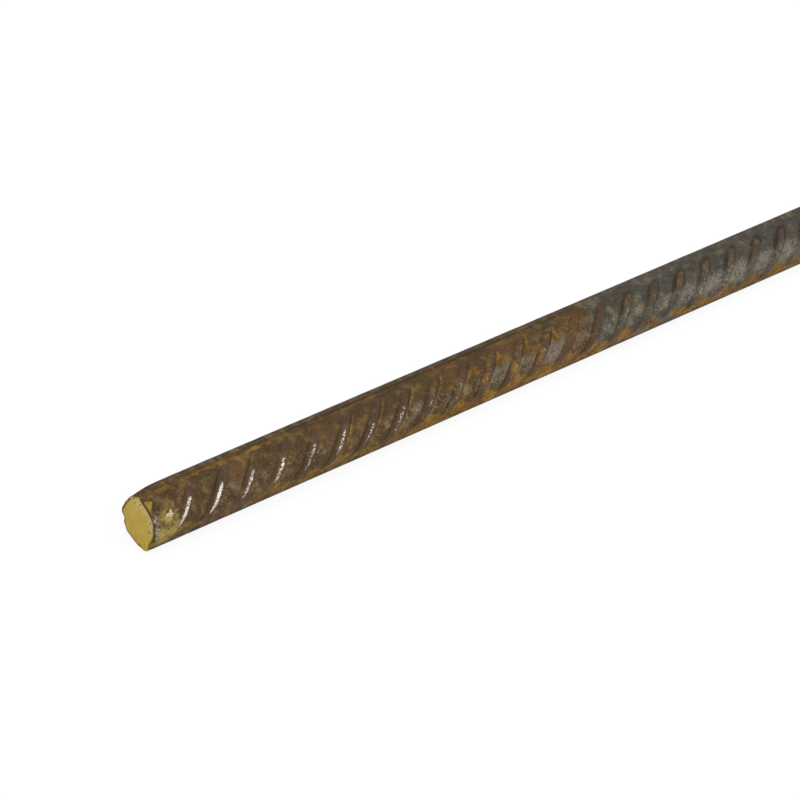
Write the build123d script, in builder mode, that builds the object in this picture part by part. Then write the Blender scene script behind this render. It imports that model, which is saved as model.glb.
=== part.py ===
from build123d import *
import os
from math import acos, atan2, cos, degrees, hypot, radians, sin, tan

# A cut length of ribbed reinforcing bar, lying on a level floor along X.
# Sizes are in millimetres and angles in degrees.
# The origin is on the floor, under the middle of the bar.

# Rolled section: a round core, crossed by transverse ribs that rise and fade
# like a crescent between two longitudinal ribs, which lie opposite each other.
# The outline runs over the crests of the transverse ribs.
bar_length = 609.6
core_diameter = 12.2
crest_height = 0.5
crescent_end = 31.0
rib_height = 0.8
rib_nose_radius = 1.4
rib_root_radius = 1.0

# Sheared ends, alike at both ends of the bar
shear_roll = 20.0
shear_lean = 7.0
rollover_radius = 1.2
crush_depth = 1.1
crush_length = 11.0
shear_clearance = 0.1

# The crests lie on an arc that leaves the core at crescent_end from a longitudinal rib
core_radius = core_diameter / 2
crest_reach = core_radius + crest_height
crescent_rise = crest_reach - core_radius * sin(radians(crescent_end))
crescent_offset = (crest_reach**2 - core_radius**2) / (2 * crescent_rise)
crescent_radius = crest_reach - crescent_offset
rib_nose_offset = core_radius + rib_height - rib_nose_radius

# The bar lies on its crests and on one longitudinal rib, rolled so that both touch the floor
nose_to_crescent = hypot(rib_nose_offset, crescent_offset)
touching_angle = acos((crescent_radius - rib_nose_radius) / nose_to_crescent)
rest_roll = degrees(touching_angle - atan2(crescent_offset, rib_nose_offset))
bar_axis = (0, 0, rib_nose_offset * cos(radians(rest_roll)) + rib_nose_radius)

section_plane = Plane.YZ.shift_origin(bar_axis).offset(-bar_length / 2)
shear_plane = Plane.XZ.shift_origin(bar_axis).rotated((shear_roll, 0, 0))

# Side view of a cut: the moving blade rolls the top edge over,
# and the fixed blade presses a flat into the underside
cut_reach = crest_reach + shear_clearance
cut_tip = (bar_length / 2, crush_depth - crest_reach)
cut_setback = (cut_reach - cut_tip[1]) * tan(radians(shear_lean))
cut_top = (cut_tip[0] - cut_setback, cut_reach)
rollover_start = (cut_top[0] - 2 * rollover_radius, cut_reach)
flat_slope = crush_depth / crush_length
flat_start = (cut_tip[0] - (cut_reach + cut_tip[1]) / flat_slope, -cut_reach)
waste_reach = 2 * crest_reach
waste_end = cut_tip[0] + shear_clearance

with BuildPart() as reinforcing_bar:
    with BuildSketch(section_plane) as rolled_section:
        Circle(core_radius)
        with PolarLocations(crescent_offset, 2, start_angle=-rest_roll):
            Circle(crescent_radius)
        with PolarLocations(rib_nose_offset, 2, start_angle=90 - rest_roll):
            Circle(rib_nose_radius)
        fillet(rolled_section.vertices(), rib_root_radius)
    extrude(amount=bar_length)
    with BuildSketch(shear_plane) as sheared_off:
        with BuildLine():
            FilletPolyline(rollover_start, cut_top, cut_tip, radius=rollover_radius)
            Polyline(
                cut_tip,
                flat_start,
                (flat_start[0], -waste_reach),
                (waste_end, -waste_reach),
                (waste_end, waste_reach),
                (rollover_start[0], waste_reach),
                rollover_start,
            )
        make_face()
        mirror(about=Plane.YZ)
    extrude(amount=waste_reach, both=True, mode=Mode.SUBTRACT)

reinforcing_bar.part.label = "reinforcing_bar"
os.makedirs("parts", exist_ok=True)
export_step(reinforcing_bar.part, "parts/reinforcing_bar.step")
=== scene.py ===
import math
from types import SimpleNamespace

import bpy
import numpy as np
from mathutils import Matrix, Vector, noise


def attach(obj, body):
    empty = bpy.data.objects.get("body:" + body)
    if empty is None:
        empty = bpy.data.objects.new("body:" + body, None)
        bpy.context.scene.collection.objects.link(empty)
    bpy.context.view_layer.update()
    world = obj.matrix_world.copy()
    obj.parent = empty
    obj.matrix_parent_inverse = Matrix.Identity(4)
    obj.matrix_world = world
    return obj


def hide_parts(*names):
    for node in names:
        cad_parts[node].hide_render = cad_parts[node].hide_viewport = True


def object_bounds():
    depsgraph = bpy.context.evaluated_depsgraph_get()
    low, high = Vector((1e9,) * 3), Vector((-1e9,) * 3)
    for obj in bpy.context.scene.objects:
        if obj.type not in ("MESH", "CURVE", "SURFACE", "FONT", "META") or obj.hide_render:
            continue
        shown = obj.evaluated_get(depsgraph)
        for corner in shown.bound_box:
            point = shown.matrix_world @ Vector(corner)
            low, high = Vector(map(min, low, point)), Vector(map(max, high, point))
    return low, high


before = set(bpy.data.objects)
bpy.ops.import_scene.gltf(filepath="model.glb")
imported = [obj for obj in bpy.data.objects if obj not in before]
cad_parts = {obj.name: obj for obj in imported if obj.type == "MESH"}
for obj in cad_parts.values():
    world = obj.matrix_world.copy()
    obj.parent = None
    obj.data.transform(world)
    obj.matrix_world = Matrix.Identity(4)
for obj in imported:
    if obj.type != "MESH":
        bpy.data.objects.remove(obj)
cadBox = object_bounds()
mm = 0.001  # lengths below are millimetres unless a note says otherwise
halfLength = (cadBox[1].x - cadBox[0].x) / mm / 2

# In the settings below a rise is (where it starts, where it is full), and may go either way.
# A band is (middle, reach to each side, half the width of its soft border).
# Angles are degrees, and around the bar they count from straight up towards the near side.

# the bar as rolled, in the frame's own place
bar = {
    "node": "reinforcing_bar",
    "slot": "weathered_steel",
    "axisHeight": 6.146,
    "roll": 30.36,           # upper long rib leans this far to the back
    "coreRadius": 6.1,
    "crestReach": 6.6,       # radius over the crests at mid crescent
    "crescentEnd": 31.0,     # from a long rib to where the crescents start
    "longRibHeight": 0.8,
    "longRibNose": 1.4,
    "longRibBlend": 0.9,
    "ribSpacing": 8.67,
    "ribSlant": 0.0925,      # mm along the bar for each degree around it
    "firstRib": -303.3,      # centre of the rib beside the painted face
    "ribBase": 3.5,
    "ribCrest": 1.9,
    "ribEndWidth": 0.5,      # share of its width that a rib keeps at its ends
    "backShift": 4.3,        # the far row of ribs sits between the near ones
    "rowBlend": 15.0,        # either side of a long rib, where one row gives way to the other
    "rowSlots": 200,         # rib numbers kept for each row
    "ribUneven": 0.06,
    "ribTallest": 1.02,      # most that an uneven rib may have of its height
    "ribSeed": 11,
    "dentDepth": 0.035,
    "dentBase": 0.5,         # share of the depth taken off all over
    "broadDent": 5.0,
    "broadDentShare": 0.7,
    "smallDent": 1.7,
    "smallDentShare": 0.5,
}

# how both ends were sheared
shear = {
    "roll": 20.0,            # blade direction against straight up
    "lean": 7.0,             # the face leans back from its tip
    "flatDepth": 1.1,
    "flatLength": 11.0,
    "droop": 0.3,
    "droopLength": 9.0,
    "ribMelt": 0.9,          # share of the upper long rib that the blade presses flat
    "ribDroop": 0.2,
    "ribDroopLength": 6.0,
    "ribDroopReach": (50.0, 20.0),  # a band's reach and border
    "rollover": 1.15,
    "rolloverBand": (78.0, 50.0, 36.0),
    "keenEdge": 0.2,
    "notch": 0.65,
    "notchBand": (-105.0, 7.0, 5.0),
    "notchRise": (1.8, 0.4),
    "raggedness": 0.2,
    "raggedSize": 1.3,
    "raggedRise": (2.2, 0.2),
    "raggedCalm": 0.7,       # share that the rolled over edge loses
    "raggedOut": 0.08,       # most that it stands out
    "faceRings": (0.96, 0.92, 0.87, 0.81, 0.74, 0.64, 0.52, 0.39, 0.26, 0.13),
    "faceRelief": 0.07,
    "faceReliefSize": 2.4,
    "bevel": 0.5,            # the rolled over edge goes on a little into the face
    "bevelFrom": 0.58,       # share of the face's radius
    "bevelBand": (38.0, 64.0, 24.0),
    "wearFrom": 0.62,        # paint is worn from here out to the keen edge
    "foldAt": 28.0,          # corner of the painted face that is folded over
    "foldReach": 4.8,        # from the axis to the fold, on the face
    "foldSlope": 0.42,       # its rise for each mm along the bar
    "foldNarrow": 0.5,       # least cosine from its middle, keeps it to one side
}

# mesh spacing
weave = {
    "nearRamp": 22.0,        # length over which rings turn from the cut to the rib slant
    "farRamp": 22.0,
    "rimPlaces": (0, 0.05, 0.13, 0.25, 0.42, 0.65, 0.95, 1.3),
    "nearStart": 1.6,
    "nearStep": 0.3,
    "farStart": 1.8,
    "farStep": 0.55,
    "shownUntil": -88.0,     # ribs before this are close to the camera
    "shownOffsets": (-3.2, -2.2, -1.75, -1.4, -1.1, -0.85, -0.45, 0,
                     0.45, 0.85, 1.1, 1.4, 1.75, 2.2, 3.2),
    "plainOffsets": (-3.0, -1.8, -1.3, -0.9, 0, 0.9, 1.3, 1.8),
    "fineAngle": 2.0,        # on the long ribs
    "plainAngle": 4.5,
    "fineReach": 24.0,
    "sharpAngle": 38.0,      # edges keener than this stay sharp
}


def blendIn(low, high, t):
    s = np.clip((t - low) / (high - low), 0, 1)
    return s * s * (3 - 2 * s)


def hill(t, centre, reach, border):
    return 1 - blendIn(reach - border, reach + border, np.abs(t - centre))


def ridge(t, width):
    return np.exp(-(t / width)**2)


def wander(points, size, seed):
    shift = Vector((seed * 17.3, seed * 5.1, seed * 9.7))  # far apart, so that no two seeds look alike
    flat = points.reshape(-1, 3) / size
    values = [noise.noise(Vector(p) + shift) for p in flat]
    return np.array(values).reshape(points.shape[:-1])


# angle around the bar, from the upper long rib over the near side
def ringAngles():
    fine, plain, reach = weave["fineAngle"], weave["plainAngle"], weave["fineReach"]
    first = np.arange(-reach, reach, fine)
    count = round((180 - 2 * reach) / plain)
    second = reach + np.arange(count) * (180 - 2 * reach) / count
    half = np.concatenate([first, second])
    return np.concatenate([half, half + 180])


# rings follow the ribs, and close up towards both cuts
def ringPlaces():
    rim = np.array(weave["rimPlaces"])
    near = np.concatenate([rim, np.arange(weave["nearStart"], weave["nearRamp"], weave["nearStep"])])
    far = np.concatenate([rim, np.arange(weave["farStart"], weave["farRamp"], weave["farStep"])])
    places = []
    centre = bar["firstRib"]
    while centre < halfLength:
        offsets = weave["shownOffsets"] if centre < weave["shownUntil"] else weave["plainOffsets"]
        places += [centre + o for o in offsets]
        centre += bar["ribSpacing"]
    places = np.array(places)
    low = -halfLength + weave["nearRamp"]
    high = halfLength - weave["farRamp"]
    middle = places[(places > low) & (places < high)]
    return np.concatenate([-halfLength + near, middle, (halfLength - far)[::-1]])


# round core with the two long ribs melted into it, found by halving
def rolledRadius(angles):
    margin, halvings = 0.5, 40
    core, nose, blend = bar["coreRadius"], bar["longRibNose"], bar["longRibBlend"]
    seat = core + bar["longRibHeight"] - nose
    across = np.radians(angles)
    cosine, sine = np.abs(np.cos(across)), np.abs(np.sin(across))
    low = np.full(len(angles), core - margin)
    high = np.full(len(angles), core + bar["longRibHeight"] + margin)
    for step in range(halvings):
        r = (low + high) / 2
        toCore = r - core
        toNose = np.hypot(r * cosine - seat, r * sine) - nose
        overlap = np.maximum(blend - np.abs(toCore - toNose), 0) / blend
        inside = np.minimum(toCore, toNose) - overlap**2 * blend / 4 < 0
        low = np.where(inside, r, low)
        high = np.where(inside, high, r)
    return (low + high) / 2


# height of a crescent over the core, by angle from the long rib before it
def crescentHeight(angles):
    core, reach = bar["coreRadius"], bar["crestReach"]
    rise = reach - core * math.sin(math.radians(bar["crescentEnd"]))
    offset = (reach**2 - core**2) / (2 * rise)
    radius = reach - offset
    t = np.radians(angles % 180 - 90)
    return np.maximum(offset * np.cos(t) + np.sqrt(radius**2 - (offset * np.sin(t))**2) - core, 0)


# zigzag that the ribs follow: one hand on the near side, the other hand on the far side
def slantShift(angles):
    a = angles % 360
    return bar["ribSlant"] * np.where(a < 180, 90 - a, a - 270)


def farSide(angles):
    a = (angles + 90) % 360 - 90
    blend = bar["rowBlend"]
    return blendIn(180 - blend, 180 + blend, a) + (1 - blendIn(-blend, blend, a))


# rib number, place across the rib and crescent height for any point of the surface
def ribField(x, angles):
    far = farSide(angles)
    s = x - slantShift(angles) - far * bar["backShift"]
    count = (s - bar["firstRib"]) / bar["ribSpacing"]
    number = np.round(count).astype(int)
    across = (count - number) * bar["ribSpacing"]
    rib = number % bar["rowSlots"] + np.where(far > 0.5, bar["rowSlots"], 0)
    return rib, across, crescentHeight(angles)


def ribProfile(across, height):
    full = bar["crestReach"] - bar["coreRadius"]
    width = bar["ribEndWidth"] + (1 - bar["ribEndWidth"]) * np.sqrt(height / full)
    base, crest = bar["ribBase"] / 2 * width, bar["ribCrest"] / 2 * width
    return blendIn(0, 1, (base - np.abs(across)) / (base - crest)), base


# rings of points over the whole length, with what the finish has to know of each point
def shapeSkin(places, angles):
    station, angle = np.meshgrid(places, angles, indexing="ij")
    nearGap, farGap = station + halfLength, halfLength - station
    gap = np.minimum(nearGap, farGap)
    endSign = np.where(nearGap < farGap, -1.0, 1.0)
    free = blendIn(0, weave["nearRamp"], nearGap) * blendIn(0, weave["farRamp"], farGap)
    x = station + free * (slantShift(angle) + farSide(angle) * bar["backShift"])

    # the cut leans back from its tip
    theta = np.radians(angle - bar["roll"])
    tilt = math.radians(shear["roll"])
    base = np.broadcast_to(rolledRadius(angles), station.shape)
    tip = shear["flatDepth"] - bar["crestReach"]
    lean = math.tan(math.radians(shear["lean"]))
    rise = np.maximum(base * np.cos(theta - tilt), tip) - tip
    x = x - endSign * (1 - free) * rise * lean

    # ribs, each a little different, and dents
    rib, across, height = ribField(x, angle)
    profile, foot = ribProfile(across, height)
    rng = np.random.default_rng(bar["ribSeed"])
    uneven = 1 + bar["ribUneven"] * rng.uniform(-1, 1, 2 * bar["rowSlots"])
    relief = height * profile * np.minimum(uneven[rib], bar["ribTallest"])
    points = np.stack([x, -np.sin(theta) * base, np.cos(theta) * base], -1)
    dents = wander(points, bar["broadDent"], seed=1) * bar["broadDentShare"]
    dents = dents + wander(points, bar["smallDent"], seed=2) * bar["smallDentShare"]
    radius = base + relief - bar["dentDepth"] * (bar["dentBase"] + dents)

    # rolled over edge, ragged on the cut
    around = (np.degrees(theta) + 180) % 360 - 180
    rolled = hill(around, *shear["rolloverBand"])
    edge = shear["keenEdge"] + (shear["rollover"] - shear["keenEdge"]) * rolled
    close = np.clip(edge - gap, 0, None)
    inset = edge - np.sqrt(np.maximum(edge**2 - close**2, 0))
    ragged = wander(points, shear["raggedSize"], seed=3) * shear["raggedness"]
    ragged = ragged * (1 - shear["raggedCalm"] * rolled) * blendIn(*shear["raggedRise"], gap)
    notch = shear["notch"] * hill(around, *shear["notchBand"]) * blendIn(*shear["notchRise"], gap)
    radius = radius - inset - notch + np.minimum(ragged, shear["raggedOut"])

    # the upper long rib melts away at the cut, and a corner of the painted face is folded over
    melt = shear["ribMelt"] * (base - bar["coreRadius"]) + shear["ribDroop"]
    sunk = np.clip(1 - gap / shear["ribDroopLength"], 0, 1)**2
    radius = radius - sunk * melt * hill(around, -bar["roll"], *shear["ribDroopReach"])
    fold = shear["foldReach"] + shear["foldSlope"] * nearGap
    facing = np.cos(np.radians(around - shear["foldAt"]))
    radius = np.minimum(radius, fold / np.maximum(facing, shear["foldNarrow"]))

    # blade direction: top dragged down, underside pressed flat
    up = radius * np.cos(theta - tilt)
    out = radius * np.sin(theta - tilt)
    drag = np.clip(1 - gap / shear["droopLength"], 0, 1)**2
    up = up - shear["droop"] * drag * blendIn(0, bar["crestReach"], up)
    slope = shear["flatDepth"] / shear["flatLength"]
    up = np.maximum(up, tip - gap * slope)
    y = -np.sin(tilt) * up - np.cos(tilt) * out
    z = np.cos(tilt) * up - np.sin(tilt) * out + bar["axisHeight"]
    body = np.stack([x, y, np.maximum(z, 0)], -1)
    return SimpleNamespace(
        points=body, x=x, gap=nearGap, theta=around, angle=angle, rib=rib, across=across,
        height=height, profile=profile, foot=foot, back=farSide(angle) > 0.5,
        bevelled=hill(around, *shear["bevelBand"]))


# the two cut faces, as rings closing on a middle point
def shapeFaces(skin):
    shrink = np.array(shear["faceRings"])
    fade = 1 - blendIn(1, shear["bevelFrom"], shrink)
    faces = []
    for end, sign in ((0, -1.0), (-1, 1.0)):
        ring, turned = skin.points[end], skin.bevelled[end]
        middle = ring.mean(0)
        layers = middle + (ring - middle) * shrink[:, None, None]
        push = turned * shrink[:, None] + turned.mean() * (1 - shrink[:, None])
        layers[..., 0] += sign * shear["bevel"] * push * (1 - fade[:, None])
        layers[..., 0] += sign * shear["faceRelief"] * wander(layers, shear["faceReliefSize"], seed=4)
        middle = middle + np.array([sign * shear["bevel"] * turned.mean(), 0, 0])
        faces.append((layers, middle))
    return faces


def makeBarMesh():
    places, angles = ringPlaces(), ringAngles()
    rings, sides = len(places), len(angles)
    skin = shapeSkin(places, angles)
    grid = np.arange(rings * sides).reshape(rings, sides)
    turn = np.roll(grid, -1, axis=1)
    walls = np.stack([grid[:-1], turn[:-1], turn[1:], grid[1:]], -1).reshape(-1, 4)
    vertices = [skin.points.reshape(-1, 3)]
    quads, fans = [walls], []
    start = rings * sides
    for end, (layers, middle) in zip((0, rings - 1), shapeFaces(skin)):
        outer = grid[end]
        for k in range(len(layers)):
            inner = start + k * sides + np.arange(sides)
            loop = (outer, inner, np.roll(inner, -1), np.roll(outer, -1))
            quads.append(np.stack(loop if end == 0 else loop[::-1], -1))
            outer = inner
        hub = start + len(layers) * sides
        loop = (outer, np.full(sides, hub), np.roll(outer, -1))
        fans.append(np.stack(loop if end == 0 else loop[::-1], -1))
        vertices += [layers.reshape(-1, 3), middle[None]]
        start = hub + 1
    vertices = np.concatenate(vertices)
    quads, fans = np.concatenate(quads), np.concatenate(fans)

    mesh = bpy.data.meshes.new("ribbedBar")
    mesh.from_pydata((vertices * mm).tolist(), [], quads.tolist() + fans.tolist())
    layout = SimpleNamespace(rings=rings, sides=sides, places=places, angles=angles)
    print("bar mesh:", len(vertices), "points,", len(quads) * 2 + len(fans), "triangles")
    return mesh, layout, skin


mesh, layout, skin = makeBarMesh()


# zones of the finish, and the noise that lets their borders wander
zones = {
    "seed": 29,
    "noiseSizes": {"slow": 34, "broad": 13, "patchy": 4},
    "noiseSeed": 5,          # of the first size, the others count on
    "drift": {"x": 1, "slow": 26, "broad": 9},
    "greyRise": (-184, -133),              # brown scale turns grey
    "beyondRise": (-95, -40),              # further on, brown and grey take turns
    "turns": {"slow": 1, "broad": 0.4},
    "turnsRise": (-0.35, 0.35),
    "along": {                             # stretches that wander with drift
        "middle": (-208, 40, 20),          # rusty, between brown and grey
        "dirtyFoot": (-222, 42, 20),
        "ochre": (-268, -205),             # the underside turns from olive to ochre
        "bareShelf": (-275, -185),         # less rust under the upper long rib
        "paler": (-255, -175),
    },
    "lines": {                             # slanted lines, as a point (x, angle) and mm for each degree
        "streakLine": ((-302.5, 72), 0.06),
        "cornerStart": ((-303.1, 2), -1 / 8),
        "cornerTip": ((-301.2, 21.5), 0.0667),
        "smearLine": ((-302.3, -6.5), -2 / 3),
        "washEnd": ((-296, 60), 0.035),
    },
    "upper": (28, 28, 14),
    "lower": (50, 78),
    "high": (60, 40),                      # upper part of a rib
    "topSide": 90,                         # up to here the closer long rib is the upper one
    "footAt": 15.5,                        # from a long rib to the painted shade line at its foot
}


# an amount made of a base and shares of the skin's own values
def weigh(skin, base=0, **shares):
    return base + sum(share * getattr(skin, name) for name, share in shares.items())


def within(value, limit):
    return hill(value, *limit) if len(limit) == 3 else blendIn(*limit, value)


# part of a mask: an amount, and a band or rise for each value of the skin that bounds it
def patch(skin, amount, **limits):
    mask = weigh(skin, **amount) if isinstance(amount, dict) else amount
    for name, limit in limits.items():
        mask = mask * within(getattr(skin, name), limit)
    return mask


def surveySkin(skin):
    skin.tall = skin.height / (bar["crestReach"] - bar["coreRadius"])
    skin.pastRib = (skin.across - skin.foot) % bar["ribSpacing"]
    skin.turned = (skin.angle + 90) % 180 - 90  # from the closer long rib
    skin.wholeTurn = skin.theta % 360
    skin.rowAngle = np.where(skin.back, skin.wholeTurn - 180, skin.theta)
    skin.topSide = skin.theta < zones["topSide"]
    for seed, (name, size) in enumerate(zones["noiseSizes"].items(), zones["noiseSeed"]):
        setattr(skin, name, wander(skin.points, size, seed))
    skin.drift = weigh(skin, **zones["drift"])
    for name, limit in zones["along"].items():
        setattr(skin, name, within(skin.drift, limit))
    for name, ((x, angle), slope) in zones["lines"].items():
        setattr(skin, name, skin.x - x + slope * (skin.theta - angle))
    beyond = blendIn(*zones["beyondRise"], skin.x)
    turns = blendIn(*zones["turnsRise"], weigh(skin, **zones["turns"]))
    skin.grey = blendIn(*zones["greyRise"], skin.drift) * (1 - beyond) + beyond * turns
    skin.upper = skin.grey * hill(skin.theta, *zones["upper"])
    skin.lower = skin.grey * blendIn(*zones["lower"], skin.rowAngle)
    skin.middleHigh = skin.middle * blendIn(*zones["high"], skin.rowAngle)


crestLook = {
    "gain": 1.6,             # how soon a rib takes its tone as it rises
    "greyLoss": {"amount": {"grey": 0.75}, "rowAngle": (42, 66)},
    "longRibWidth": 11,
}


def crestMasks(skin):
    loss = patch(skin, **crestLook["greyLoss"])
    crest = skin.profile * np.minimum(skin.tall * crestLook["gain"], 1) * (1 - loss)
    return crest, np.exp(-(skin.turned / crestLook["longRibWidth"])**4)


# dark dirt and painted shade: lines at both feet of a rib, partly painted shade in its roots, dirt at its
# tips, a painted shade line along the foot of the upper long rib, a dark line by the paint, and a film
dirtShadeLook = {
    "leftInset": 0.1,
    "leftWidth": {"base": 0.45, "middle": -0.1, "upper": 0.55},
    "leftAmount": {"base": 0.55, "grey": 0.3, "middle": 0.2, "middleHigh": -0.4,
                   "lower": -0.45, "patchy": 0.45},
    "rightWidth": {"base": 0.34, "upper": 0.35},
    "rightAmount": {"base": 0.35, "upper": 0.45, "lower": 0.3, "middle": 0.15,
                    "middleHigh": 0.5, "patchy": 0.4},
    "footGain": 2.2,
    "tip": {"amount": {"base": 0.85, "patchy": 0.5}, "tall": (0.25, 0.22, 0.15), "across": (0, 1.3, 0.6)},
    "lineWidth": 2.4,
    "lineAmount": {"base": 0.5, "dirtyFoot": 0.45, "grey": -0.25, "patchy": 0.3},
    "seam": {"amount": 0.32, "gap": (0.38, 0.16, 0.12), "theta": (30, 26, 12)},
    "film": {"amount": 0.28, "drift": (-208, 52, 24), "rowAngle": (66, 50), "grey": (0.7, 0.3)},
}


def dirtShadeMask(skin):
    look = dirtShadeLook
    left = ridge(skin.across + skin.foot - look["leftInset"], weigh(skin, **look["leftWidth"]))
    right = ridge(skin.across - skin.foot, weigh(skin, **look["rightWidth"]))
    feet = np.maximum(left * weigh(skin, **look["leftAmount"]), right * weigh(skin, **look["rightAmount"]))
    feet = feet * np.minimum(skin.tall * look["footGain"], 1)
    tip = patch(skin, **look["tip"]) * skin.grey
    line = sum(ridge(skin.turned + side * zones["footAt"], look["lineWidth"]) for side in (-1, 1))
    line = line * weigh(skin, **look["lineAmount"]) * skin.topSide
    seam, film = patch(skin, **look["seam"]), patch(skin, **look["film"])
    return np.clip(np.maximum.reduce([feet, tip, line, seam, film]), 0, 1)


# bright steel on the crests that rubbed against other bars, partly a painted highlight: the worn lines
# keep to the side of each rib that catches the light, in strengths listed rib by rib, and are pointed at
# both ends; the spot beside the painted face is a painted glint
wornGlintLook = {
    "at": 66,
    "reach": 23,
    "reachLeast": 0.85,
    "reachMore": 0.4,        # for a fully worn rib
    "off": 0.25,             # the worn line runs a little past the middle of the crest
    "width": 0.62,
    "thinnest": 0.02,
    "lowerStretch": 1.25,
    "pointGain": 2.2,
    "ribs": (0.4, 0.86, 0.93, 0.68, 0.62, 0.55, 0.57, 0.42, 0.5, 0.34, 0.32, 0.25, 0.2, 0.3),
    "otherRibs": (-0.3, 0.4),              # least and most, below 0 isn't worn
    "stray": 9,                            # how far the middle of a faint one may shift
    "spot": {"amount": 0.62, "theta": (60, 6, 5), "x": (-299, 0.9, 0.6)},
    "rim": {"amount": 0.46, "gap": (0.95, 0.45, 0.3), "theta": (93, 17, 8)},
}


def wornGlintMask(skin, rng):
    look, slots = wornGlintLook, 2 * bar["rowSlots"]
    strength = np.clip(rng.uniform(*look["otherRibs"], slots), 0, 1)
    strength[:len(look["ribs"])] = look["ribs"]
    middle = look["at"] + rng.uniform(-look["stray"], look["stray"], slots) * (1 - strength)
    reach = look["reach"] * (look["reachLeast"] + look["reachMore"] * strength)
    away = skin.rowAngle - middle[skin.rib]
    lens = 1 - (away / reach[skin.rib] / np.where(away > 0, look["lowerStretch"], 1))**2
    width = look["width"] * np.sqrt(np.clip(lens, look["thinnest"], 1))
    line = ridge(skin.across - look["off"], width) * strength[skin.rib] * skin.profile
    line = line * np.clip(lens * look["pointGain"], 0, 1)
    return np.maximum.reduce([line, patch(skin, **look["spot"]), patch(skin, **look["rim"])])


# pale flecks in the valleys, not the same in each; kept to a band around the bar, they also paint in the
# sheen of the light on the scale
fleckSheenLook = {
    "valleys": (0.35, 1),                  # least and most
    "greyCrest": 0.5,                      # share that stays on grey crests
    "sheenBand": {"amount": {"base": 0.45, "paler": 0.55}, "theta": (70, 21, 12)},
    "rim": {"amount": 1, "gap": (0.95, 0.5, 0.35), "theta": (78, 34, 10)},
}


def fleckSheenMask(skin, rng):
    look, slots = fleckSheenLook, 2 * bar["rowSlots"]
    valley = rng.uniform(*look["valleys"], slots)[(skin.rib - (skin.across < 0)) % slots]
    offCrest = 1 - skin.profile * (1 - look["greyCrest"] * skin.grey)
    flecksAndSheen = patch(skin, **look["sheenBand"]) * offCrest * valley
    return np.maximum(flecksAndSheen, patch(skin, **look["rim"]))


# rust under the upper long rib, along the underside, in the lee of the ribs and on far crests;
# it goes below 0 where it stays away
rustLook = {
    "shelf": {"amount": {"base": 0.4, "bareShelf": -0.34, "broad": 0.7},
              "theta": (-5, 8, 7), "x": (-302, -284)},
    "shelfGreyLoss": 0.95,
    "below": {"base": -84, "theta": 1, "pastRib": -3.4, "patchy": 8},
    "under": {"amount": {"base": 0.3, "ochre": 0.55, "middle": 0.12, "broad": 0.4, "patchy": 0.45},
              "below": (-4, 10), "theta": (150, 134)},
    "leeTurn": {"theta": 1, "pastRib": -5.5},
    "lee": {"amount": 0.52, "leeTurn": (28, 13, 8), "drift": (-195, 26, 16)},
    "edgeAt": 1.3,                         # times the half width of a rib
    "edgeWidth": 0.34,
    "edgeGain": 2,
    "edgeUntil": 125,
    "edge": {"amount": {"base": 0.85, "patchy": 0.5}, "drift": (-215, 44, 20)},
    "lineOff": 6,                          # past the dark line of the upper long rib
    "lineWidth": 2.6,
    "line": {"amount": 0.55, "drift": (-232, 34, 16)},
    "top": {"amount": 0.45, "theta": (-8, 15, 8), "x": (-299, 4.5, 2)},
    "streak": {"amount": 0.85, "theta": (66, 20, 10), "streakLine": (0, 0.45, 0.35)},
    "ribRust": (0.1, 0.5),                 # least and most
    "crest": {"amount": {"ribRust": 1, "patchy": 0.25}, "theta": (32, 17, 13), "drift": (-222, -190)},
    "back": {"amount": {"base": 0.45, "broad": 0.5}, "wholeTurn": (215, 60, 30)},
    "allOver": {"base": 0.08, "broad": 0.1, "grey": -0.08},
    "greyLoss": 0.42,
    "greyLossRise": (0.3, 0.05),           # only where there is little rust
    "longRibLoss": 0.35,
    "longRibWidth": 10,
    "lowest": -0.5,
}


def rustMask(skin, streak, rng):
    look = rustLook
    skin.below, skin.leeTurn = weigh(skin, **look["below"]), weigh(skin, **look["leeTurn"])
    skin.ribRust = rng.uniform(*look["ribRust"], 2 * bar["rowSlots"])[skin.rib]
    shelf = patch(skin, **look["shelf"]) * (1 - look["shelfGreyLoss"] * skin.grey)
    crest = patch(skin, **look["crest"]) * skin.profile
    edge = ridge(skin.across - look["edgeAt"] * skin.foot, look["edgeWidth"]) * patch(skin, **look["edge"])
    edge = edge * np.minimum(skin.tall * look["edgeGain"], 1) * (skin.theta < look["edgeUntil"])
    line = ridge(skin.turned - zones["footAt"] - look["lineOff"], look["lineWidth"])
    line = line * patch(skin, **look["line"]) * skin.topSide
    others = [patch(skin, **look[name]) for name in ("under", "lee", "top", "back")]
    rust = np.maximum.reduce([shelf, crest, edge, line, streak, *others])
    loss = look["greyLoss"] * skin.grey * blendIn(*look["greyLossRise"], rust)
    rust = rust + weigh(skin, **look["allOver"]) - loss
    onRib = look["longRibLoss"] * ridge(skin.turned, look["longRibWidth"]) * skin.topSide
    return np.clip(rust * (1 - onRib), look["lowest"], 1)


# yellow that ran over the edge and on to the side
runLook = {
    "ragged": {"gap": 1, "patchy": 0.25},
    "rimWidth": 0.2,
    "rimMore": {"amount": 0.3, "theta": (2, -10)},
    "rim": {"amount": 1, "overRim": (0.12, -0.12), "theta": (73, 93, 10)},
    "hair": {"amount": 1, "ragged": (0.2, 0.03)},
    "corner": {"amount": 0.86, "cornerStart": (0.375, -0.125), "cornerTip": (0.15, -0.25),
               "theta": (54, 48), "gap": (0.38, 0.6)},
    "smear": {"amount": 0.7, "smearLine": (0, 8 / 3, 2), "x": (-300, -301.5)},
    "wash": {"amount": {"base": 0.85, "patchy": 0.4}, "theta": (93, 42, 10),
             "x": (-303.6, -301.8), "washEnd": (0.4, -1.4)},
    # the rolled over edge, where the paint is made paler as a painted highlight
    "bevelHighlight": {"amount": {"bevelled": 1}, "gap": (0.6, 0.1)},
    "wearAround": (60, 90, 14),            # the face's edge keeps its paint here
}


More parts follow.
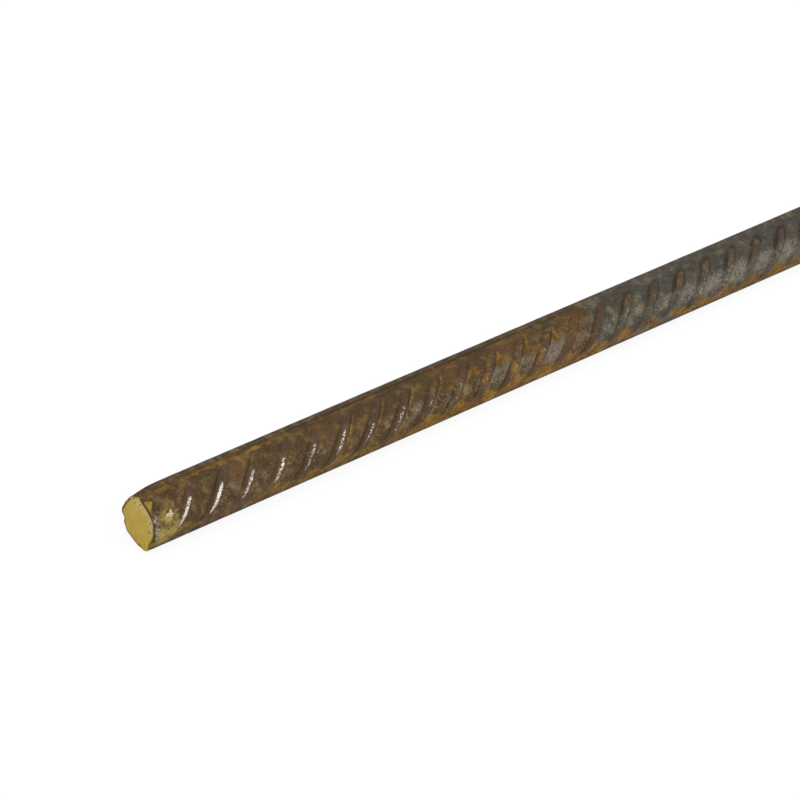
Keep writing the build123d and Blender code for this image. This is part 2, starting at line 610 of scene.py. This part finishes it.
def paintMask(skin):
    look = runLook
    skin.ragged = weigh(skin, **look["ragged"])
    skin.overRim = skin.ragged - look["rimWidth"] - patch(skin, **look["rimMore"])
    runs = [patch(skin, **look[name]) for name in ("rim", "hair", "corner", "smear")]
    return np.clip(np.maximum.reduce(runs), 0, 1)


def finishMasks(skin):
    surveySkin(skin)
    rng = np.random.default_rng(zones["seed"])
    crest, longRib = crestMasks(skin)
    streak = patch(skin, **rustLook["streak"])
    return {
        "ribCrest": crest,
        "dirtAndShade": dirtShadeMask(skin) * (1 - streak),
        "wornSteelAndGlint": wornGlintMask(skin, rng),
        "greyScale": skin.grey,
        "paleFlecksAndSheen": fleckSheenMask(skin, rng),
        "ochreRust": rustMask(skin, streak, rng),
        "longRib": longRib,
        "strayPaint": paintMask(skin),
        "paintWash": patch(skin, **runLook["wash"]) * (1 - streak),
        "bevelHighlight": patch(skin, **runLook["bevelHighlight"]),
        "paintWear": 1 - hill(skin.theta, *runLook["wearAround"]),
    }


# masks as values on the mesh; on the cut faces two of them fade inwards and the others are even
def keepMasks(mesh, masks):
    shrink = np.array(shear["faceRings"])
    fades = {
        "bevelHighlight": 1 - blendIn(1, shear["bevelFrom"], shrink),
        "paintWear": 1 - blendIn(1, shear["wearFrom"], shrink),
    }
    for name, values in masks.items():
        rows = [values.reshape(-1)]
        for ring in (values[0], values[-1]):
            inner = np.full((len(shrink), len(ring)), ring.mean())
            if name in fades:
                inner = np.outer(fades[name], ring)
            rows += [inner.reshape(-1), inner[-1, :1]]
        layer = mesh.attributes.new(name, "FLOAT", "POINT")
        layer.data.foreach_set("value", np.concatenate(rows).astype(np.float32))


masks = finishMasks(skin)
keepMasks(mesh, masks)
print("finish masks:", ", ".join(masks))


# unrolled in strips, one above the other, with the two cut faces beside each other on top
unroll = {
    "strips": 4,
    "rowHeight": 0.205,
    "margin": 0.004,
    "rowFill": 0.984,
    "faceSize": 0.165,
    "faceAcross": (0.1, 0.3),  # painted face, plain face
    "faceUp": 0.91,
}


def unrollBar(mesh, layout):
    strips, margin = unroll["strips"], unroll["margin"]
    rings, sides, places = layout.rings, layout.sides, layout.places
    marks = np.linspace(places[0], places[-1], strips + 1)
    bounds = np.array([int(np.argmin(np.abs(places - m))) for m in marks])
    uv = np.zeros((len(mesh.loops), 2))
    turns = np.append(layout.angles, layout.angles[0] + 360)
    v = (turns - turns[0]) / 360
    ringOf = np.repeat(np.arange(rings - 1), sides)
    sideOf = np.tile(np.arange(sides), rings - 1)
    strip = np.clip(np.searchsorted(bounds, ringOf, side="right") - 1, 0, strips - 1)
    first, last = bounds[strip], bounds[strip + 1]
    wallLoops = len(ringOf) * 4
    for corner, (along, around) in enumerate(((0, 0), (0, 1), (1, 1), (1, 0))):
        part = (places[ringOf + along] - places[first]) / (places[last] - places[first])
        row = strip + margin + v[sideOf + around] * unroll["rowFill"]
        uv[corner:wallLoops:4, 0] = margin + part * (1 - 2 * margin)
        uv[corner:wallLoops:4, 1] = row * unroll["rowHeight"]
    co = np.zeros(len(mesh.vertices) * 3)
    mesh.vertices.foreach_get("co", co)
    loops = np.zeros(len(mesh.loops), dtype=int)
    mesh.loops.foreach_get("vertex_index", loops)
    face = co.reshape(-1, 3)[loops[wallLoops:]] / mm
    scale = 2 * (bar["coreRadius"] + bar["longRibHeight"]) / unroll["faceSize"]
    uv[wallLoops:, 0] = np.where(face[:, 0] < 0, *unroll["faceAcross"]) + face[:, 1] / scale
    uv[wallLoops:, 1] = unroll["faceUp"] + (face[:, 2] - bar["axisHeight"]) / scale
    layer = mesh.uv_layers.new(name="OFBake")
    layer.data.foreach_set("uv", uv.reshape(-1).astype(np.float32))


unrollBar(mesh, layout)
mesh.shade_smooth()
mesh.set_sharp_from_angle(angle=math.radians(weave["sharpAngle"]))
mesh.validate()
ribbedBar = bpy.data.objects.new("ribbedBar", mesh)
bpy.context.scene.collection.objects.link(ribbedBar)
print("bar unrolled")


# node helpers; nodes are laid out in rows as they come
nodeRows = {"columns": 8, "across": 220, "down": 300}


def addNode(tree, kind, **settings):
    row, column = divmod(len(tree.nodes), nodeRows["columns"])
    node = tree.nodes.new(kind)
    node.location = (column * nodeRows["across"], -row * nodeRows["down"])
    for name, value in settings.items():
        setattr(node, name, value)
    return node


def plug(tree, source, target):
    if isinstance(source, (int, float, tuple)):
        target.default_value = source
    else:
        tree.links.new(source, target)


def compute(tree, operation, a, b, clamp=False):
    node = addNode(tree, "ShaderNodeMath", operation=operation, use_clamp=clamp)
    plug(tree, a, node.inputs[0])
    plug(tree, b, node.inputs[1])
    return node.outputs[0]


def times(tree, a, b):
    return compute(tree, "MULTIPLY", a, b)


def plus(tree, *values):
    total = values[0]
    for value in values[1:]:
        total = compute(tree, "ADD", total, value)
    return total


# noise turned into a push up or down
def swing(tree, value, amount):
    return times(tree, compute(tree, "SUBTRACT", value, 0.5), amount)


# a Mix node's sockets go by number: 2 and 3 take values, 6 and 7 take colours
def mixColour(tree, amount, a, b):
    node = addNode(tree, "ShaderNodeMix", data_type="RGBA")
    plug(tree, amount, node.inputs[0])
    plug(tree, a, node.inputs[6])
    plug(tree, b, node.inputs[7])
    return node.outputs[2]


def mixValue(tree, amount, a, b):
    node = addNode(tree, "ShaderNodeMix", data_type="FLOAT")
    plug(tree, amount, node.inputs[0])
    plug(tree, a, node.inputs[2])
    plug(tree, b, node.inputs[3])
    return node.outputs[0]


def grain(tree, vector, scale, detail, rough, distortion=0.0):
    node = addNode(tree, "ShaderNodeTexNoise")
    plug(tree, vector, node.inputs["Vector"])
    node.inputs["Scale"].default_value = scale
    node.inputs["Detail"].default_value = detail
    node.inputs["Roughness"].default_value = rough
    node.inputs["Distortion"].default_value = distortion
    return node.outputs["Fac"]


def spread(tree, value, low, high):
    node = addNode(tree, "ShaderNodeMapRange", interpolation_type="SMOOTHSTEP")
    plug(tree, value, node.inputs["Value"])
    plug(tree, low, node.inputs["From Min"])
    plug(tree, high, node.inputs["From Max"])
    return node.outputs["Result"]


# value pushed up or down by noise, then cut between two limits
def roughened(tree, value, push, amount, low, high):
    return spread(tree, plus(tree, value, swing(tree, push, amount)), low, high)


def coat(tree, colour, value, push, amount, low, high, share, coatTone):
    cover = times(tree, roughened(tree, value, push, amount, low, high), share)
    return mixColour(tree, cover, colour, coatTone)


def ramp(tree, value, stops):
    node = addNode(tree, "ShaderNodeValToRGB")
    plug(tree, value, node.inputs[0])
    elements = node.color_ramp.elements
    while len(elements) < len(stops):
        elements.new(0.5)
    for element, (stop, colour) in zip(elements, stops):
        element.position = stop
        element.color = colour
    return node.outputs[0]


# a colour as it shows, in levels of 255
def tone(r, g, b):
    def linear(v):
        v /= 255
        return v / 12.92 if v <= 0.04045 else ((v + 0.055) / 1.055)**2.4
    return (linear(r), linear(g), linear(b), 1.0)


def newGroup(name, inputs, outputs):
    group = bpy.data.node_groups.new(name, "ShaderNodeTree")
    for side, sockets in (("INPUT", inputs), ("OUTPUT", outputs)):
        for label, kind in sockets.items():
            group.interface.new_socket(label, in_out=side, socket_type=kind)
    return group, addNode(group, "NodeGroupInput").outputs, addNode(group, "NodeGroupOutput").inputs


def placeGroup(tree, group, **values):
    node = addNode(tree, "ShaderNodeGroup", node_tree=group)
    for label, value in values.items():
        plug(tree, value, node.inputs[label])
    return node.outputs


def maskValue(tree, name):
    node = addNode(tree, "ShaderNodeAttribute", attribute_type="GEOMETRY", attribute_name=name)
    return node.outputs["Fac"]


def addBump(tree, height, strength, depth, shader):
    bump = addNode(tree, "ShaderNodeBump")
    bump.inputs["Strength"].default_value = strength
    bump.inputs["Distance"].default_value = depth
    plug(tree, height, bump.inputs["Height"])
    plug(tree, bump.outputs[0], shader.inputs["Normal"])


# mottling at four sizes, each stretched over 0 to 1, and a tint made of the finer three
# noise is (scale over metres, detail, roughness, distortion)
mottleSizes = {
    "Broad": {"noise": (95, 3, 0.55, 0.0), "rise": (0.36, 0.64)},
    "Blotch": {"noise": (380, 4, 0.6, 0.15), "rise": (0.36, 0.64)},
    "Grain": {"noise": (1300, 3, 0.6, 0.0), "rise": (0.36, 0.64)},
    "Dust": {"noise": (3600, 2, 0.6, 0.0), "rise": (0.34, 0.66)},
}
tintShares = {"Blotch": 0.36, "Grain": 0.32, "Dust": 0.32}


def makeMottleGroup():
    outputs = dict.fromkeys([*mottleSizes, "Tint"], "NodeSocketFloat")
    group, start, end = newGroup("mottle", {"Vector": "NodeSocketVector"}, outputs)
    levels = {}
    for label, size in mottleSizes.items():
        levels[label] = spread(group, grain(group, start["Vector"], *size["noise"]), *size["rise"])
        plug(group, levels[label], end[label])
    tint = plus(group, *[times(group, levels[label], share) for label, share in tintShares.items()])
    plug(group, tint, end["Tint"])
    return group


# rust: mask and colour that break up at several sizes
rustFilmLook = {
    "blotch": (520, 4, 0.62, 0.2),
    "blotchSwing": 2.0,
    "fine": (2100, 3, 0.65),
    "fineSwing": 1.8,
    "maskRise": (0.3, 0.95),
    "broadHue": (260, 3, 0.6),
    "fineHue": (1500, 3, 0.65),
    "hueShare": 0.5,
    "tones": ((0.38, tone(80, 56, 29)), (0.5, tone(132, 93, 38)), (0.6, tone(148, 118, 56))),
}

filmInputs = {"Vector": "NodeSocketVector", "Amount": "NodeSocketFloat"}
filmOutputs = {"Colour": "NodeSocketColor", "Mask": "NodeSocketFloat"}


def makeRustGroup():
    group, start, end = newGroup("rustFilm", filmInputs, filmOutputs)
    look, vector = rustFilmLook, start["Vector"]
    shift = swing(group, grain(group, vector, *look["blotch"]), look["blotchSwing"])
    speck = swing(group, grain(group, vector, *look["fine"]), look["fineSwing"])
    plug(group, spread(group, plus(group, start["Amount"], shift, speck), *look["maskRise"]), end["Mask"])
    broadHue = times(group, grain(group, vector, *look["broadHue"]), look["hueShare"])
    fineHue = times(group, grain(group, vector, *look["fineHue"]), look["hueShare"])
    plug(group, ramp(group, plus(group, broadHue, fineHue), look["tones"]), end["Colour"])
    return group


# brushed or sprayed yellow: colour with thin and pale places, and a mask that flakes
yellowLook = {
    "cloud": (260, 3, 0.5),
    "cloudShare": 0.55,
    "fine": (1600, 4, 0.65),
    "fineShare": 0.45,
    "tones": ((0.38, tone(196, 161, 68)), (0.5, tone(198, 170, 71)), (0.66, tone(202, 179, 78))),
    "blotch": (620, 3, 0.6),
    "swing": 1.6,
    "maskRise": (0.42, 0.72),
}


def makePaintGroup():
    group, start, end = newGroup("yellowFilm", filmInputs, filmOutputs)
    look, vector = yellowLook, start["Vector"]
    cloud = grain(group, vector, *look["cloud"])
    fine = grain(group, vector, *look["fine"])
    both = plus(group, times(group, cloud, look["cloudShare"]), times(group, fine, look["fineShare"]))
    plug(group, ramp(group, both, look["tones"]), end["Colour"])
    ragged = swing(group, grain(group, vector, *look["blotch"]), look["swing"])
    speck = swing(group, fine, look["swing"])
    plug(group, spread(group, plus(group, start["Amount"], ragged, speck), *look["maskRise"]), end["Mask"])
    return group


mottle, rustFilm, yellowFilm = makeMottleGroup(), makeRustGroup(), makePaintGroup()


def newMaterial(name):
    material = bpy.data.materials.new(name)
    material.use_nodes = True
    tree = material.node_tree
    tree.nodes.clear()
    output = addNode(tree, "ShaderNodeOutputMaterial")
    shader = addNode(tree, "ShaderNodeBsdfPrincipled")
    plug(tree, shader.outputs[0], output.inputs["Surface"])
    place = addNode(tree, "ShaderNodeTexCoord").outputs["Object"]
    return material, tree, shader, place


# a cut is (push by noise, low limit, high limit), and a coat adds the share laid on and its tone
steelLook = {
    "broadSwing": 0.3,
    "brown": ((0.1, tone(70, 53, 32)), (0.5, tone(82, 63, 37)), (0.9, tone(93, 75, 44))),
    "warm": (0.8, 0.5, 0.9, 0.6, tone(98, 67, 40)),
    "patchShare": 0.65,
    "softShare": 0.65,
    "grey": ((0.12, tone(61, 55, 47)), (0.5, tone(74, 69, 60)), (0.9, tone(85, 80, 70))),
    "cool": (-0.6, 0.45, 0.15, 0.25, tone(80, 81, 76)),
    "greyCut": (0.55, 0.32, 0.68),
    "crest": (0.7, 0.25, 0.8, 0.62),
    "crestTones": (tone(80, 62, 50), tone(77, 58, 40)),  # on brown scale, on grey
    "longRib": (0.7, 0.3, 0.75, 0.82),
    "longRibTones": ((0.15, tone(58, 51, 44)), (0.5, tone(76, 67, 58)), (0.85, tone(96, 84, 70))),
    "rustShare": 0.85,
    "grainShare": 0.35,
    "dustShare": 0.65,
    # these two coats lie on the flecks mask, so they also paint in a sheen
    "slate": (0.7, 0.3, 0.8, 0.5, tone(94, 89, 83)),
    "fleck": (1.5, 0.5, 1.2, 0.5, tone(142, 134, 121)),
    "speckRise": (0.28, 0.1),
    "speckShare": 0.25,
    "dirtShadeCut": (0.9, 0.2, 0.85),
    "dirtShadeShare": 0.78,
    "dirtShadeTone": tone(42, 32, 21),
    "cloudShare": 0.45,
    "wash": (1.3, 0.15, 1.3, 0.6, tone(180, 165, 86)),
    "bevelHighlightShare": 0.85,
    "bevelHighlightTone": tone(182, 160, 94),
    "dullGain": 4.0,         # thin paint lets the steel dull it
    "dullTone": tone(128, 106, 34),
    # worn crests, partly a painted highlight
    "wornGlintGain": 1.25,
    "wornGlintCut": (0.9, 0.42, 0.95),
    "bareAndGlintTone": tone(206, 196, 184),
    "bareMetal": 0.75,
    "brownRough": 0.66,
    "greyRough": 0.56,
    "rustRough": 0.9,
    "bareRough": 0.36,
    "specular": 0.14,
    "rustLift": 0.35,
    "bumpStrength": 0.8,
    "bumpDepth": 0.00014,    # metres
}


# brown scale, warmer in places, turning grey and cooler further along
def layScale(tree, spots, greyEdge):
    look = steelLook
    broad, blotch, tint = spots["Broad"], spots["Blotch"], spots["Tint"]
    uneven = plus(tree, tint, swing(tree, broad, look["broadSwing"]))
    brown = coat(tree, ramp(tree, uneven, look["brown"]), broad, blotch, *look["warm"])
    soft = mixValue(tree, look["softShare"], tint, mixValue(tree, look["patchShare"], blotch, broad))
    grey = coat(tree, ramp(tree, soft, look["grey"]), broad, spots["Grain"], *look["cool"])
    return mixColour(tree, greyEdge, brown, grey)


def layRibs(tree, colour, spots, greyEdge):
    look, tint = steelLook, spots["Tint"]
    crestTone = mixColour(tree, greyEdge, *look["crestTones"])
    colour = coat(tree, colour, maskValue(tree, "ribCrest"), spots["Grain"], *look["crest"], crestTone)
    longRibTone = ramp(tree, tint, look["longRibTones"])
    return coat(tree, colour, maskValue(tree, "longRib"), tint, *look["longRib"], longRibTone)


# rust, then pale flecks that also paint a sheen, then dark specks, and dirt with painted shade
def layRust(tree, colour, spots, rust, glitter):
    look, tint = steelLook, spots["Tint"]
    flecksAndSheen, dirtShade = maskValue(tree, "paleFlecksAndSheen"), maskValue(tree, "dirtAndShade")
    colour = mixColour(tree, times(tree, rust["Mask"], look["rustShare"]), colour, rust["Colour"])
    colour = coat(tree, colour, flecksAndSheen, spots["Blotch"], *look["slate"])
    colour = coat(tree, colour, flecksAndSheen, glitter, *look["fleck"])
    specks = times(tree, spread(tree, tint, *look["speckRise"]), look["speckShare"])
    # dirt, partly painted shade in the rib roots and at the foot of the upper long rib
    shade = times(tree, roughened(tree, dirtShade, tint, *look["dirtShadeCut"]), look["dirtShadeShare"])
    return mixColour(tree, compute(tree, "MAXIMUM", shade, specks), colour, look["dirtShadeTone"])


# a thin wash, then the paint that ran over the edge, paler on the rolled over edge as a painted highlight
def layPaint(tree, colour, spots, place):
    look = steelLook
    wash, stray, band = [maskValue(tree, name) for name in ("paintWash", "strayPaint", "bevelHighlight")]
    cloud = mixValue(tree, look["cloudShare"], spots["Blotch"], spots["Tint"])
    colour = coat(tree, colour, wash, cloud, *look["wash"])
    paint = placeGroup(tree, yellowFilm, Vector=place, Amount=stray)
    yellow = mixColour(tree, times(tree, band, look["bevelHighlightShare"]), paint["Colour"], look["bevelHighlightTone"])
    bared = compute(tree, "SUBTRACT", 1.0, stray)
    dull = compute(tree, "MULTIPLY", bared, look["dullGain"], clamp=True)
    yellow = mixColour(tree, dull, yellow, look["dullTone"])
    return mixColour(tree, times(tree, paint["Mask"], stray), colour, yellow)


def makeWeatheredSteel():
    material, tree, shader, place = newMaterial("weatheredSteel")
    look = steelLook
    spots = placeGroup(tree, mottle, Vector=place)
    rust = placeGroup(tree, rustFilm, Vector=place, Amount=maskValue(tree, "ochreRust"))
    greyEdge = roughened(tree, maskValue(tree, "greyScale"), spots["Blotch"], *look["greyCut"])
    glitter = plus(tree, times(tree, spots["Grain"], look["grainShare"]),
                   times(tree, spots["Dust"], look["dustShare"]))
    colour = layScale(tree, spots, greyEdge)
    colour = layRibs(tree, colour, spots, greyEdge)
    colour = layRust(tree, colour, spots, rust, glitter)
    colour = layPaint(tree, colour, spots, place)

    # bare steel where the crests were rubbed, its pale colour also a painted highlight
    wornGlint = times(tree, maskValue(tree, "wornSteelAndGlint"), look["wornGlintGain"])
    rubAndGlint = roughened(tree, wornGlint, glitter, *look["wornGlintCut"])
    plug(tree, mixColour(tree, rubAndGlint, colour, look["bareAndGlintTone"]), shader.inputs["Base Color"])
    plug(tree, times(tree, rubAndGlint, look["bareMetal"]), shader.inputs["Metallic"])
    rough = mixValue(tree, greyEdge, look["brownRough"], look["greyRough"])
    rough = mixValue(tree, rust["Mask"], rough, look["rustRough"])
    plug(tree, mixValue(tree, rubAndGlint, rough, look["bareRough"]), shader.inputs["Roughness"])
    shader.inputs["Specular IOR Level"].default_value = look["specular"]
    lift = plus(tree, spots["Tint"], times(tree, rust["Mask"], look["rustLift"]))
    addBump(tree, lift, look["bumpStrength"], look["bumpDepth"], shader)
    return material


faceLook = {
    # paler yellow on the rolled over edge is a painted highlight
    "edge": (0.8, 0.1, 0.5, 0.75, tone(207, 184, 116)),
    "dotRise": (0.78, 0.95),
    "dotBandRise": (0.02, 0.3),
    "dotShare": 0.8,
    "dotTone": tone(116, 106, 72),
    "chipRise": (0.2, 0.08),
    "chipShare": 0.6,
    "chipTone": tone(104, 90, 56),
    "flush": (0.6, 0.45, 1.1, 0.5, tone(204, 146, 84)),
    "line": (0.25, 0.84, 0.98, 0.85, tone(72, 50, 34)),
    "rough": 0.66,
    "specular": 0.16,
    "bumpStrength": 0.6,
    "bumpDepth": 0.0001,     # metres
}


def makeEndPaint():
    material, tree, shader, place = newMaterial("endPaint")
    look = faceLook
    spots = placeGroup(tree, mottle, Vector=place)
    tint = spots["Tint"]
    band, wear = maskValue(tree, "bevelHighlight"), maskValue(tree, "paintWear")
    colour = placeGroup(tree, yellowFilm, Vector=place, Amount=1.0)["Colour"]
    # paler on the rolled over edge: a painted highlight
    colour = coat(tree, colour, band, tint, *look["edge"])
    dots = times(tree, spread(tree, spots["Grain"], *look["dotRise"]), look["dotShare"])
    dots = times(tree, dots, spread(tree, band, *look["dotBandRise"]))
    colour = mixColour(tree, dots, colour, look["dotTone"])
    chips = times(tree, spread(tree, tint, *look["chipRise"]), look["chipShare"])
    colour = mixColour(tree, chips, colour, look["chipTone"])

    # keen edge: a rusty flush, then a dark line where the paint is off
    colour = coat(tree, colour, wear, spots["Blotch"], *look["flush"])
    colour = coat(tree, colour, wear, tint, *look["line"])
    plug(tree, colour, shader.inputs["Base Color"])
    shader.inputs["Roughness"].default_value = look["rough"]
    shader.inputs["Specular IOR Level"].default_value = look["specular"]
    addBump(tree, tint, look["bumpStrength"], look["bumpDepth"], shader)
    return material


# steel all over, paint on the near cut face
mesh.materials.append(makeWeatheredSteel())
mesh.materials.append(makeEndPaint())
centres = np.zeros(len(mesh.polygons) * 3)
mesh.polygons.foreach_get("center", centres)
slots = np.zeros(len(mesh.polygons), dtype=np.int32)
wallCount = (layout.rings - 1) * layout.sides
slots[wallCount:] = centres.reshape(-1, 3)[wallCount:, 0] < 0
mesh.polygons.foreach_set("material_index", slots)
print("materials:", ", ".join(m.name for m in mesh.materials))

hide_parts(bar["node"])
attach(ribbedBar, "root")


# white floor that still takes the bar's shadow; sizes and places are metres here
studio = {
    "floorSize": 6.0,
    "floorTone": (0.86, 0.86, 0.86, 1.0),
    "floorGlow": 1.04,
    "glowShare": 0.86,
    "skyTone": (1.0, 1.0, 1.0, 1.0),
    "ambient": 0.62,
    "aim": (-0.22, 0.0, 0.0),
    "keyPower": 9.0,         # watts
    "keySize": 0.9,
    "keyDistance": 1.5,
    "keyAzimuth": 31.0,      # from straight in front towards the far end
    "keyElevation": 22.0,
    "topPower": 10.0,
    "topSize": 1.4,
    "topPlace": (-0.1, -0.2, 1.6),
}


def makeFloor():
    half = studio["floorSize"] / 2
    corners = [(-half, -half, 0), (half, -half, 0), (half, half, 0), (-half, half, 0)]
    floorMesh = bpy.data.meshes.new("floor")
    floorMesh.from_pydata(corners, [], [(0, 1, 2, 3)])
    floor = bpy.data.objects.new("floor", floorMesh)
    bpy.context.scene.collection.objects.link(floor)
    material = bpy.data.materials.new("floorWhite")
    material.use_nodes = True
    tree = material.node_tree
    tree.nodes.clear()
    output = addNode(tree, "ShaderNodeOutputMaterial")
    matt = addNode(tree, "ShaderNodeBsdfDiffuse")
    matt.inputs["Color"].default_value = studio["floorTone"]
    glow = addNode(tree, "ShaderNodeEmission")
    glow.inputs["Strength"].default_value = studio["floorGlow"]
    path = addNode(tree, "ShaderNodeLightPath").outputs
    seen = compute(tree, "MAXIMUM", path["Is Camera Ray"], path["Is Glossy Ray"])
    seen = compute(tree, "MAXIMUM", seen, path["Is Transmission Ray"])
    mix = addNode(tree, "ShaderNodeMixShader")
    plug(tree, times(tree, seen, studio["glowShare"]), mix.inputs[0])
    plug(tree, matt.outputs[0], mix.inputs[1])
    plug(tree, glow.outputs[0], mix.inputs[2])
    plug(tree, mix.outputs[0], output.inputs["Surface"])
    floorMesh.materials.append(material)


def addLamp(name, power, size, place, target):
    lamp = bpy.data.lights.new(name, "AREA")
    lamp.energy = power
    lamp.shape = "DISK"
    lamp.size = size
    holder = bpy.data.objects.new(name, lamp)
    holder.location = place
    holder.rotation_euler = (target - place).to_track_quat("-Z", "Y").to_euler()
    bpy.context.scene.collection.objects.link(holder)


def makeLight():
    world = bpy.data.worlds.new("studio")
    bpy.context.scene.world = world
    world.use_nodes = True
    tree = world.node_tree
    sky = tree.nodes["Background"]
    sky.inputs["Color"].default_value = studio["skyTone"]
    seen = addNode(tree, "ShaderNodeLightPath").outputs["Is Camera Ray"]
    plug(tree, mixValue(tree, seen, studio["ambient"], studio["floorGlow"]), sky.inputs["Strength"])
    target = Vector(studio["aim"])
    azimuth, elevation = math.radians(studio["keyAzimuth"]), math.radians(studio["keyElevation"])
    level = math.cos(elevation)
    way = Vector((math.sin(azimuth) * level, -math.cos(azimuth) * level, math.sin(elevation)))
    addLamp("keyLamp", studio["keyPower"], studio["keySize"], target + way * studio["keyDistance"], target)
    addLamp("topLamp", studio["topPower"], studio["topSize"], Vector(studio["topPlace"]), target)


# camera at the photograph's angle
eye = {
    "place": (-589.92, -463.97, 402.19),
    "azimuth": -37.795,      # 0 looks straight across the bar
    "elevation": 33.835,
    "lens": 135.0,
    "sensor": 36.0,
    "clipStart": 10.0,
}


def makeCamera():
    camera = bpy.data.cameras.new("camera")
    camera.lens = eye["lens"]
    camera.sensor_width = eye["sensor"]
    camera.clip_start = eye["clipStart"] * mm
    holder = bpy.data.objects.new("camera", camera)
    turn = Matrix.Rotation(math.radians(eye["azimuth"]), 4, "Z")
    lean = Matrix.Rotation(math.radians(90 - eye["elevation"]), 4, "X")
    holder.matrix_world = Matrix.Translation(Vector(eye["place"]) * mm) @ turn @ lean
    bpy.context.scene.collection.objects.link(holder)
    bpy.context.scene.camera = holder


makeFloor()
makeLight()
makeCamera()
bpy.context.scene.view_settings.view_transform = "Standard"
print("floor, lamps and camera ready")
